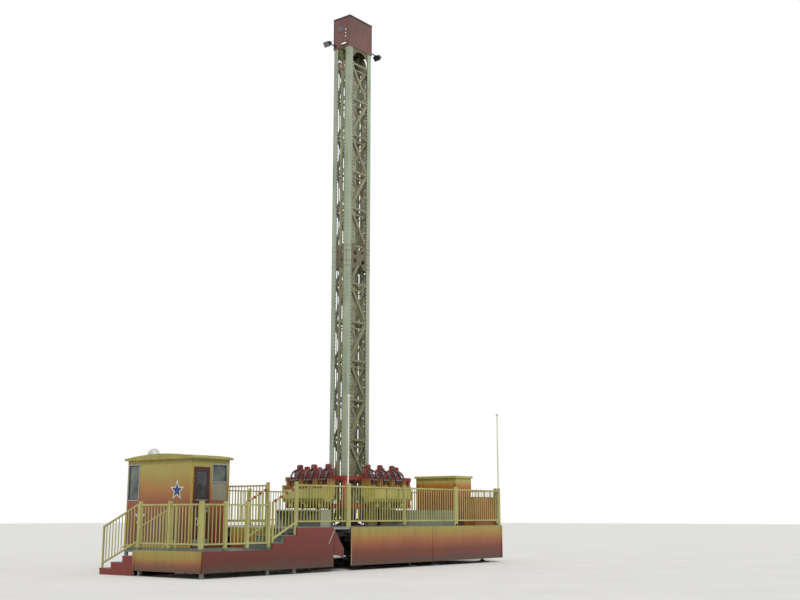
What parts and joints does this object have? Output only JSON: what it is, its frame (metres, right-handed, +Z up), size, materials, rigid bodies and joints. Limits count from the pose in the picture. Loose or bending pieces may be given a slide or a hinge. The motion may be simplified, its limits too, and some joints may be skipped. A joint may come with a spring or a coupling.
{
  "type": "transportable fairground drop tower ride",
  "caption": "Fairground drop tower: lattice mast with a head box, a ring of outward bucket seats that rides up it, a fenced deck with stairs and a pay booth.",
  "frame": {"origin": "on the ground at the vertical axis of the mast, under the middle support foot", "axes": "+X to the right along the platform's front edge, +Y from the front to the back, +Z up the mast"},
  "size_m": [12.592, 6.472, 17.8],
  "materials": {
    "cream_paint": "worn pale yellow-green gloss paint",
    "dark_red_paint": "dull dark red paint",
    "red_paint": "red gloss paint",
    "sunset_paint": "yellow to red gradient on sheet panels",
    "booth_paint": "yellow to red gradient on sheet walls",
    "yellow_paint": "yellow gloss paint",
    "white_paint": "white gloss paint",
    "white_plastic": "opal white dome",
    "glass": "dark tinted pane",
    "seat_shell": "yellow moulded shell",
    "restraint_pad": "orange red moulded pad",
    "roller_rubber": "black tyre on a guide roller",
    "deck_plate": "grey green tread plate",
    "bench_aluminium": "pale grey sheet",
    "dark_steel": "dark greasy steel",
    "wire_rope": "galvanised wire rope",
    "lamp_housing": "black lamp housing"
  },
  "bodies": {
    "root": {"jack_feet": "dark_steel", "cross_beams": "dark_red_paint", "long_beams": "dark_red_paint", "frame_posts": "dark_steel", "main_deck": "deck_plate", "lower_deck": "deck_plate", "deck_stair": "deck_plate", "entry_stair": "deck_plate", "front_skirt": "sunset_paint", "stair_skirt": "dark_red_paint", "end_skirt": "sunset_paint", "rear_skirts": "sunset_paint", "front_fence": "cream_paint", "lower_fence": "cream_paint", "end_fence": "cream_paint", "stair_rails": "cream_paint", "entry_rails": "cream_paint", "rear_fences": "cream_paint", "light_poles": "white_paint", "mast_foot": "dark_red_paint", "mast_columns": "cream_paint", "lattice_wide": "cream_paint", "lattice_narrow": "cream_paint", "mast_splice": "cream_paint", "head_frame": "dark_red_paint", "head_box": "red_paint", "head_roof": "dark_red_paint", "floodlights": "lamp_housing", "hoist_sheaves": "dark_steel", "hoist_cables": "wire_rope", "landing_buffers": "dark_steel", "booth_floor": "deck_plate", "booth_side_wall": "booth_paint", "booth_back_wall": "booth_paint", "booth_inner_wall": "booth_paint", "booth_jamb": "booth_paint", "booth_header": "booth_paint", "booth_window_wall": "booth_paint", "booth_glass": "glass", "booth_roof": "yellow_paint", "booth_dome": "white_plastic", "control_cabinet": "sunset_paint", "benches": "bench_aluminium", "deck_locker": "yellow_paint", "equipment_box": "sunset_paint"},
    "carriage": {"carriage_ring_low": "red_paint", "carriage_posts": "red_paint", "carriage_ring_high": "red_paint", "guide_rollers": "roller_rubber", "seats_front": "seat_shell", "seats_back": "seat_shell", "seats_left": "seat_shell", "seats_right": "seat_shell", "restraints": "restraint_pad"},
    "booth_door": {"booth_door": "dark_red_paint"}
  },
  "joints": [
    {"name": "carriage_slide", "type": "slide", "parent": "root", "child": "carriage", "axis": [0, 0, 1], "range_m": [0, 13]},
    {"name": "booth_door_hinge", "type": "hinge", "parent": "root", "child": "booth_door", "pos_m": [-7.017, -0.814, 0.62], "axis": [0, 0, -1], "range_deg": [0, 100]}
  ]
}
